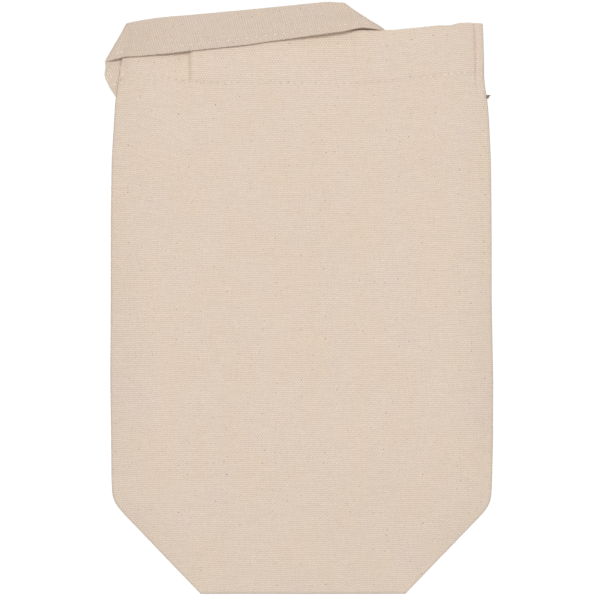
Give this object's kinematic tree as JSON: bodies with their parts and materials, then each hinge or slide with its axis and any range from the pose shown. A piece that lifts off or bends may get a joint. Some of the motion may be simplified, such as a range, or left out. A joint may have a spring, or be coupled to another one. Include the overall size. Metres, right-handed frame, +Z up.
{
  "type": "bottle bag",
  "caption": "Natural canvas bottle bag with a boxed base and two strap handles, empty and laid flat, the front handle folded round its top corner",
  "frame": {"origin": "on the table under the middle of the whole part's box, straps included", "axes": "the bag lies flat on its back: +X to the right seen from above, +Y from the base edge to the mouth, +Z up from the table through the front panel"},
  "size_m": [0.2062, 0.3158, 0.0131],
  "materials": {
    "canvas": "plain woven unbleached cotton canvas",
    "webbing": "folded and topstitched cotton canvas strap",
    "thread": "overlocked seam allowance with natural sewing thread"
  },
  "bodies": {
    "bag": {"front_panel": "canvas", "back_panel": "canvas", "base_panel": "canvas", "left_base_corner": "canvas", "right_base_corner": "canvas", "left_base_seam": "thread", "right_base_seam": "thread", "left_side_seam": "thread", "right_side_seam": "thread", "front_hem": "canvas", "back_hem": "canvas", "front_handle_right_end": "webbing", "front_handle_left_end": "webbing", "rear_handle_left_end": "webbing", "rear_handle_right_end": "webbing", "rear_handle_loop": "webbing"},
    "handle_riser": {"front_handle_riser": "webbing"},
    "handle_crossing": {"front_handle_crossing": "webbing"},
    "handle_return": {"front_handle_return": "webbing"},
    "handle_tail": {"front_handle_tail": "webbing"}
  },
  "joints": [
    {"name": "riser_swing", "type": "hinge", "parent": "bag", "child": "handle_riser", "pos_m": [0.03892, 0.14631, 0.0094], "axis": [-1, 0, 0], "range_deg": [0, 90]},
    {"name": "crossing_unfold", "type": "hinge", "parent": "handle_riser", "child": "handle_crossing", "pos_m": [0.03432, 0.14986, 0.0125], "axis": [-0.8443, 0.5359, 0], "range_deg": [0, 180]},
    {"name": "return_swing", "type": "hinge", "parent": "bag", "child": "handle_return", "pos_m": [-0.04828, 0.14616, 0.0021], "axis": [1, 0, 0], "range_deg": [0, 180]},
    {"name": "tail_unfold", "type": "hinge", "parent": "handle_return", "child": "handle_tail", "pos_m": [-0.06491, 0.0679, 0.00135], "axis": [-0.9931, -0.1175, 0], "range_deg": [0, 170]}
  ]
}
